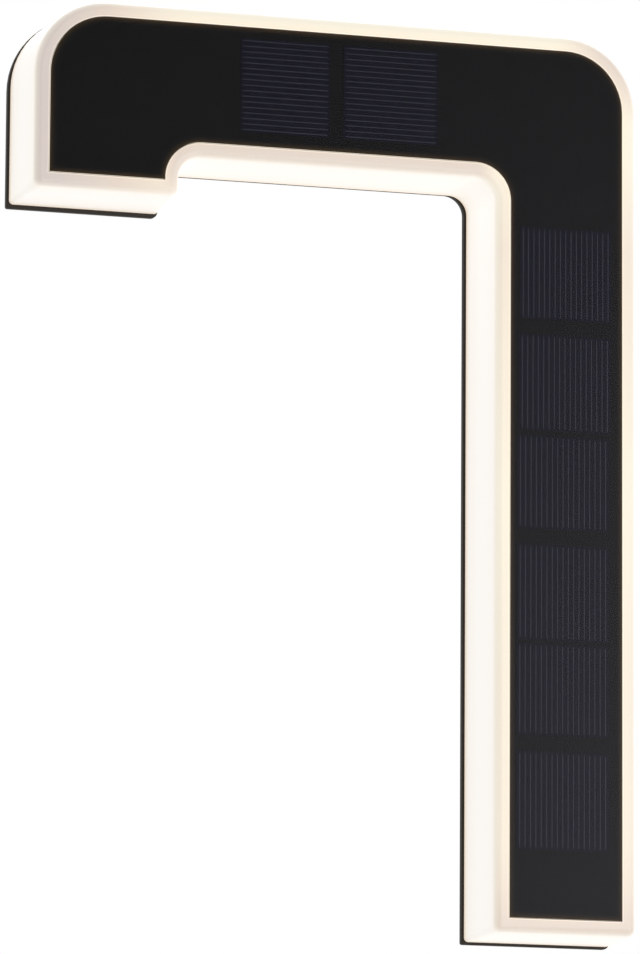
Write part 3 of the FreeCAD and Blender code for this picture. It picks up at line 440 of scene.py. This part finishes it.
class NUMBER_OT_diffuser(bpy.types.Operator):
    """Finish the opal diffuser"""

    bl_idname = "number.diffuser"
    bl_label = "Diffuser"

    def execute(self, context):
        finish_nodes(opal_polycarbonate(context.scene.number_look.diffuser), "diffuser_shell")
        return {"FINISHED"}


# ---- Solar panel ----
EMBOSSING = 0.9 * MM         # grain of the film's skin, about ten times the real one's so that it shows
EMBOSSING_DEPTH = 0.04 * MM
EDGE_DEPTH = 1.5 * MM        # how far the brown light reaches into the film
EDGE_HALFWAY = 0.36          # share of that light left halfway in
AT_OUTLINE = 0.97            # share of the way out from which a face is the film's side
SIDE_SHIFT = 0.1 * MM        # cut side's middle behind the film's, because its front edge is bevelled
SIDE_HALF = 0.2 * MM         # half the height of the cut side, less a little at the back face
CLOTH_WEAVE, CLOTH_DEPTH = 0.6 * MM, 0.004 * MM
COATING_CLOUDS = 3.0 * MM
PASTE_GRAIN = 0.5 * MM       # coarser than fired paste has, so that it shows
DULL = 0.03                  # specular level of what lies under the film, which takes the gloss from it


def matte_film(look):
    """Matte PET laminate: clear, with an embossed skin that scatters a little grey and spreads the gloss.
    The glow of the rim enters it at its cut side, which shows as a bright line, and dies away brown a
    millimetre inside."""
    material, tree, shader = new_material(
        "matte_pet_film_embossed", Roughness=0.31, Specular_IOR_Level=0.14, Alpha=look.haze,
        Emission_Strength=1.0,
    )
    place = object_place(tree)
    mottle(tree, shader, EMBOSSING, shades(look.film, 0.7, 1.3), EMBOSSING_DEPTH, place=place)
    outside = outside_seven(tree, flattened(tree, place), EDGE_DEPTH)
    into_edge = add_node(
        tree, RANGE, {"Value": outside, "From Min": 0.0, "From Max": EDGE_DEPTH}
    ).outputs["Result"]
    dark, halfway, full = shades(look.edge_light, 0.0, EDGE_HALFWAY, 1.0)
    inside = add_node(
        tree, RAMP, {"Fac": into_edge}, [(0.0, dark), (0.5, halfway), (1.0, full)]
    ).outputs["Color"]
    back = add_node(tree, SPLIT, {0: place}).outputs["Y"]
    side_middle = (PANEL_LOW.y + PANEL_HIGH.y) / 2 + SIDE_SHIFT
    at_side = add_node(tree, MATH, {0: back, 1: side_middle, 2: SIDE_HALF}, operation="COMPARE").outputs[0]
    at_outline = add_node(tree, MATH, {0: into_edge, 1: AT_OUTLINE}, operation="GREATER_THAN").outputs[0]
    at_side = add_node(tree, MATH, {0: at_side, 1: at_outline}, operation="MULTIPLY").outputs[0]
    back_faces = add_node(tree, "ShaderNodeNewGeometry").outputs["Backfacing"]
    outwards = add_node(
        tree, MATH, {0: at_side, 1: back_faces}, operation="SUBTRACT", use_clamp=True
    ).outputs[0]
    glow = add_node(
        tree, MIX, {0: outwards, MIX_FROM: inside, MIX_TO: rgba(look.edge_line)}, data_type="RGBA"
    ).outputs[MIXED]
    tree.links.new(glow, shader.inputs["Emission Color"])
    return material


def solder_resist(name, base, roughness=0.5, gloss=0.3):
    """Solder resist on glass fibre board, screen printed: even, with a faint weave of the cloth beneath."""
    return mottled(
        name, CLOTH_WEAVE, shades(base, 0.85, 1.15), CLOTH_DEPTH, Roughness=roughness,
        Specular_IOR_Level=gloss,
    )


def coated_silicon(look):
    """Silicon cell, sawn and coated with nitride: blue black, with faint clouds where the coating varies."""
    return mottled(
        "coated_silicon_cell", COATING_CLOUDS, shades(look.cell, 0.85, 1.15), grades=(0.3, 0.42),
        Specular_IOR_Level=DULL,
    )


def fired_silver(look):
    """Silver paste, printed and fired: dull grey lines with ragged edges. Real ones are 0.1 mm wide and
    these are 0.2 mm."""
    return mottled(
        "fired_silver_paste", PASTE_GRAIN, shades(look.finger, 0.7, 1.2), Roughness=0.5,
        Specular_IOR_Level=DULL,
    )


def foam_tape():
    """Acrylic foam tape, cut from a roll: grey, dull and softly pitted."""
    return mottled(
        "acrylic_foam_tape_grey", 0.4 * MM, colours("#6f7072", "#858688"), 0.03 * MM, Roughness=0.9
    )


class NUMBER_OT_solar_panel(bpy.types.Operator):
    """Finish the solar board, its cells, their printed lines, the film and the tape behind"""

    bl_idname = "number.solar_panel"
    bl_label = "Solar panel"

    def execute(self, context):
        look = context.scene.number_look.panel
        finish_nodes(matte_film(look), "panel_film")
        finish_nodes(solder_resist("black_solder_resist", look.board, gloss=DULL), "solar_board")
        finish_nodes(coated_silicon(look), *[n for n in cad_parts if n.startswith("solar_cell_")])
        finish_nodes(fired_silver(look), "cell_fingers")
        finish_nodes(foam_tape(), "panel_tape")
        return {"FINISHED"}


# ---- Housing ----
SPARK_DEPTH = 0.02 * MM
SPANGLE, SPANGLE_DEPTH = 0.3 * MM, 0.003 * MM


def spark_eroded_abs(look):
    """Black ABS moulded in a spark eroded tool: deep and dull, with a fine even grain that catches grey
    light. Its black is tinted warm brown, which is painted light standing in for the diffuser's warm glow on
    it."""
    return mottled(
        "black_abs_spark_eroded", look.grain, shades(look.plate, 0.8, 1.25), SPARK_DEPTH, (0.5, 0.62),
        Specular_IOR_Level=0.25,
    )


def zinc_plated_steel(look):
    """Steel screws, barrel plated with zinc and passivated: bright bluish grey, with a soft spangle and fine
    scratches."""
    return mottled(
        "zinc_plated_steel", SPANGLE, shades(look.zinc, 0.82, 1.06), SPANGLE_DEPTH, (0.22, 0.42),
        Metallic=1.0,
    )


def silicone_rubber():
    """Grey silicone, moulded: soft and dull."""
    return mottled(
        "silicone_rubber_moulded", 0.5 * MM, colours("#8c8c8a", "#9c9c9a"), 0.01 * MM, Roughness=0.7
    )


class NUMBER_OT_housing(bpy.types.Operator):
    """Finish the wall plate, the battery cover, the screws and the seals"""

    bl_idname = "number.housing"
    bl_label = "Housing"

    def execute(self, context):
        look = context.scene.number_look.housing
        finish_nodes(spark_eroded_abs(look), "wall_plate", "battery_cover")
        finish_nodes(zinc_plated_steel(look), "housing_screws", "battery_cover_screws", "board_screws")
        finish_nodes(silicone_rubber(), "housing_gasket", "battery_cover_gasket", "lead_seal")
        return {"FINISHED"}


# ---- Battery ----
WRAP_END = 1.0 * MM          # bare can showing at each end of the sleeve
SLEEVE_RIPPLE = 4 * MM
NICKEL = "#b3afa6", "#c9c5bc"


def wrapped_cell():
    """A nickel plated steel can in a blue PVC sleeve, shrunk on with heat: glossy, with bare bright metal at
    both ends."""
    material, tree, shader = new_material("blue_shrink_sleeve_on_steel_can", Roughness=0.28)
    place = object_place(tree)
    mottle(tree, shader, SLEEVE_RIPPLE, colours("#1d4f9a", "#2259a8"), 0.01 * MM, place=place)
    along = add_node(tree, SPLIT, {0: place}).outputs["X"]
    middle, half = (CELL_LOW.x + CELL_HIGH.x) / 2, (CELL_HIGH.x - CELL_LOW.x) / 2
    along = add_node(tree, MATH, {0: along, 1: middle}, operation="SUBTRACT").outputs[0]
    along = add_node(tree, MATH, {0: along}, operation="ABSOLUTE").outputs[0]
    bare = add_node(tree, MATH, {0: along, 1: half - WRAP_END}, operation="GREATER_THAN").outputs[0]
    sleeve = shader.inputs["Base Color"].links[0].from_socket
    both = add_node(
        tree, MIX, {0: bare, MIX_FROM: sleeve, MIX_TO: rgba(colour("#c3bfb6"))}, data_type="RGBA"
    ).outputs[MIXED]
    tree.links.new(both, shader.inputs["Base Color"])
    tree.links.new(bare, shader.inputs["Metallic"])
    return material


def spring_steel():
    """Spring steel strip, nickel plated and pressed: bright and warm, with soft smears in its gloss."""
    return mottled(
        "nickel_plated_spring_steel", 0.4 * MM, colours(*NICKEL), 0.003 * MM, (0.25, 0.4), Metallic=1.0
    )


class NUMBER_OT_battery(bpy.types.Operator):
    """Finish the battery and its contacts"""

    bl_idname = "number.battery"
    bl_label = "Battery"

    def execute(self, context):
        finish_nodes(wrapped_cell(), "battery_cell")
        finish_nodes(spring_steel(), "battery_plus_contact", "battery_minus_contact")
        return {"FINISHED"}


# ---- Boards and what they carry ----
def led_package():
    """PPA moulded round a phosphor window: creamy yellow white, smooth."""
    return mottled("white_ppa_led_package", 0.5 * MM, colours("#efe3b4", "#f5ecc8"), Roughness=0.45)


def chip_epoxy():
    """Epoxy, transfer moulded: black with a fine dull sandy skin."""
    return mottled("black_epoxy_moulded", 0.3 * MM, colours("#1c1c1d", "#262627"), 0.01 * MM, Roughness=0.55)


def ferrite():
    """Ferrite, pressed and sintered: dark grey and slightly rough, like slate."""
    return mottled("sintered_ferrite", 0.4 * MM, colours("#3a3b3d", "#4a4b4d"), 0.01 * MM, Roughness=0.6)


def drawn_aluminium():
    """Deep drawn aluminium can: bright and neutral, with a satin gloss."""
    return mottled(
        "drawn_aluminium_can", 0.3 * MM, colours("#c3c5c8", "#d6d8da"), 0.002 * MM, (0.25, 0.35), Metallic=1.0
    )


def socket_nylon():
    """Nylon, injection moulded: slightly yellow white, half dull."""
    return mottled("white_nylon_socket", 0.8 * MM, colours("#e4e1d8", "#eeebe3"), 0.005 * MM, Roughness=0.5)


class NUMBER_OT_electronics(bpy.types.Operator):
    """Finish the LED boards, the control board and the parts on them"""

    bl_idname = "number.electronics"
    bl_label = "Electronics"

    def execute(self, context):
        white = solder_resist("white_solder_resist", colour("#e9e8e3"), 0.4)
        finish_nodes(white, "led_board_upper", "led_board_lower", "led_board_upright")
        finish_nodes(solder_resist("green_solder_resist", colour("#1d5a34"), 0.35), "control_board")
        finish_nodes(led_package(), "leds")
        finish_nodes(chip_epoxy(), "charge_chip")
        finish_nodes(ferrite(), "inductor")
        finish_nodes(drawn_aluminium(), "capacitors")
        finish_nodes(socket_nylon(), "lead_sockets")
        return {"FINISHED"}


# ---- Switch ----
def switch_nylon():
    """Black nylon, injection moulded: half dull, with the faintest grain."""
    return mottled("black_nylon_switch", 0.5 * MM, colours("#1b1b1c", "#252526"), 0.006 * MM, Roughness=0.5)


def plated_pins():
    """Brass pins, stamped and nickel plated: bright and warm."""
    return mottled(
        "nickel_plated_pins", 0.3 * MM, colours(*NICKEL), 0.002 * MM, (0.25, 0.4), Metallic=1.0
    )


def knob_acetal(look):
    """White acetal, injection moulded: slippery, with a soft gloss."""
    return mottled(
        "white_acetal_knob", 0.4 * MM, shades(look.knob, 0.95, 1.03), 0.005 * MM, Roughness=0.38
    )


class NUMBER_OT_switch(bpy.types.Operator):
    """Finish the slide switch and its knob"""

    bl_idname = "number.switch"
    bl_label = "Switch"

    def execute(self, context):
        finish_nodes(switch_nylon(), "switch_body")
        finish_nodes(plated_pins(), "switch_pins")
        finish_nodes(knob_acetal(context.scene.number_look.housing), "switch_knob")
        return {"FINISHED"}


# ---- Leads ----
LEAD_COLOURS = (("plus", "red", "#a3201c", "#b32a24"), ("minus", "black", "#1a1a1b", "#242425"))


def lead_silicone(name, low, high):
    """Silicone insulation, extruded over the strands: soft, with a dull skin that takes a little dust."""
    return mottled(f"silicone_lead_{name}", 0.6 * MM, colours(low, high), 0.005 * MM, Roughness=0.55)


class NUMBER_OT_leads(bpy.types.Operator):
    """Finish the red and black leads inside"""

    bl_idname = "number.leads"
    bl_label = "Leads"

    def execute(self, context):
        for sign, name, low, high in LEAD_COLOURS:
            leads = [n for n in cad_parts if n.endswith(sign) and "lead" in n]
            finish_nodes(lead_silicone(name, low, high), *leads)
        return {"FINISHED"}


# ---- Stage ----
WHITE = (1.0, 1.0, 1.0)
COOL = (1.0, 0.985, 1.07)    # daylight that the panel mirrors
# Each lamp's setting of power, place, width and height in metres, and tint.
LAMPS = (
    ("key", (-1.4, -1.9, 1.3), 1.2, 1.2, WHITE),
    ("sheen", (1.08, -2.15, -0.2), 0.4, 1.1, COOL),
    ("back", (0.6, 2.2, 1.2), 1.4, 1.4, WHITE),
)
FLOOR_DROP = 1.6             # the number hangs at about eye height
FLOOR_HALF = 8.0
FLOOR_LIFT = 0.42            # what the floor adds to look pale to the camera
FLOOR_PATCHES = 40 * MM      # rolled paint's faint unevenness


def add_area(name, place, aim, width, height, power, tint):
    """A soft light at a place, turned to the point it lights."""
    light = bpy.data.lights.new(name, "AREA")
    light.shape = "RECTANGLE"
    light.color = tint
    light.size, light.size_y, light.energy = width, height, power
    lamp = bpy.data.objects.new(name, light)
    lamp.location = place
    lamp.rotation_euler = (Vector(aim) - Vector(place)).to_track_quat("-Z", "Y").to_euler()
    bpy.context.scene.collection.objects.link(lamp)


def add_camera(stage):
    """The photograph's camera: left of the front and below, turned by its own roll."""
    a, e, r = stage.azimuth, stage.elevation, stage.roll
    back = Vector((-math.sin(a) * math.cos(e), -math.cos(a) * math.cos(e), math.sin(e)))
    level_right = Vector((math.cos(a), -math.sin(a), 0))
    level_up = back.cross(level_right)
    right = math.cos(r) * level_right + math.sin(r) * level_up
    turn = Matrix((right, back.cross(right), back)).transposed().to_4x4()
    camera = bpy.data.objects.new("photo_camera", bpy.data.cameras.new("photo_camera"))
    camera.data.lens = stage.lens
    camera.matrix_world = Matrix.Translation(Vector(stage.target) + back * stage.distance) @ turn
    bpy.context.scene.collection.objects.link(camera)
    bpy.context.scene.camera = camera


def seen_directly(tree):
    """1 where the camera looks, or looks through glass or by way of a gloss, and 0 where the light is worked
    out."""
    path = add_node(tree, "ShaderNodeLightPath")
    seen = path.outputs["Is Camera Ray"]
    for name in ("Is Glossy Ray", "Is Transmission Ray"):
        seen = add_node(tree, MATH, {0: seen, 1: path.outputs[name]}, operation="MAXIMUM").outputs[0]
    return seen


def light_world(ambient):
    """Even light from all round. The camera, metal and glass see white instead."""
    world = bpy.data.worlds.new("studio")
    world.use_nodes = True
    tree = world.node_tree
    strength = add_node(tree, RANGE, {"Value": seen_directly(tree), "To Min": ambient, "To Max": 1.0})
    background = tree.nodes["Background"]
    background.inputs["Color"].default_value = rgba(WHITE)
    tree.links.new(strength.outputs["Result"], background.inputs["Strength"])
    bpy.context.scene.world = world


def add_floor(tint):
    """A flat square at z = -FLOOR_DROP, out of the picture and below the camera, in matt paint, rolled on:
    pale and dull. It looks paler than it is lit."""
    mesh = bpy.data.meshes.new("floor")
    h, z = FLOOR_HALF, -FLOOR_DROP
    mesh.from_pydata([(-h, -h, z), (h, -h, z), (h, h, z), (-h, h, z)], [], [(0, 1, 2, 3)])
    floor = bpy.data.objects.new("floor", mesh)
    material, tree, shader = new_material("matte_painted_floor", Roughness=0.9, Emission_Color=rgba(tint))
    mottle(tree, shader, FLOOR_PATCHES, shades(tint, 0.985, 1.0))
    lift = add_node(tree, MATH, {0: seen_directly(tree), 1: FLOOR_LIFT}, operation="MULTIPLY").outputs[0]
    tree.links.new(lift, shader.inputs["Emission Strength"])
    mesh.materials.append(material)
    bpy.context.scene.collection.objects.link(floor)


class NUMBER_OT_stage(bpy.types.Operator):
    """Set the camera, the lights and the floor"""

    bl_idname = "number.stage"
    bl_label = "Stage"

    def execute(self, context):
        stage = context.scene.number_look.stage
        context.scene.view_settings.view_transform = "Standard"
        add_camera(stage)
        light_world(stage.ambient)
        aim = (CAD_LOW + CAD_HIGH) / 2
        for name, place, width, height, tint in LAMPS:
            add_area(f"{name}_light", place, aim, width, height, getattr(stage, name), tint)
        add_floor(stage.floor)
        return {"FINISHED"}


# ---- Add-on ----
class NUMBER_PT_looks(bpy.types.Panel):
    """Lists the house number's pieces and their settings"""

    bl_idname = "NUMBER_PT_looks"
    bl_label = "House number"
    bl_space_type = "VIEW_3D"
    bl_region_type = "UI"
    bl_category = "House number"

    def draw(self, context):
        look = context.scene.number_look
        for group in (look.diffuser, look.panel, look.housing, look.stage):
            box = self.layout.box()
            for name in group.__annotations__:
                box.prop(group, name)
        for operator in OPERATORS:
            self.layout.operator(operator.bl_idname)


OPERATORS = (
    NUMBER_OT_diffuser,
    NUMBER_OT_solar_panel,
    NUMBER_OT_housing,
    NUMBER_OT_battery,
    NUMBER_OT_electronics,
    NUMBER_OT_switch,
    NUMBER_OT_leads,
    NUMBER_OT_stage,
)
CLASSES = (DiffuserLook, PanelLook, HousingLook, StageLook, NumberLook, *OPERATORS, NUMBER_PT_looks)


def register():
    for item in CLASSES:
        bpy.utils.register_class(item)
    bpy.types.Scene.number_look = PointerProperty(type=NumberLook)


def unregister():
    del bpy.types.Scene.number_look
    for item in reversed(CLASSES):
        bpy.utils.unregister_class(item)


def main():
    register()
    for operator in OPERATORS:
        group, name = operator.bl_idname.split(".")
        getattr(getattr(bpy.ops, group), name)()


if __name__ == "__main__":
    main()
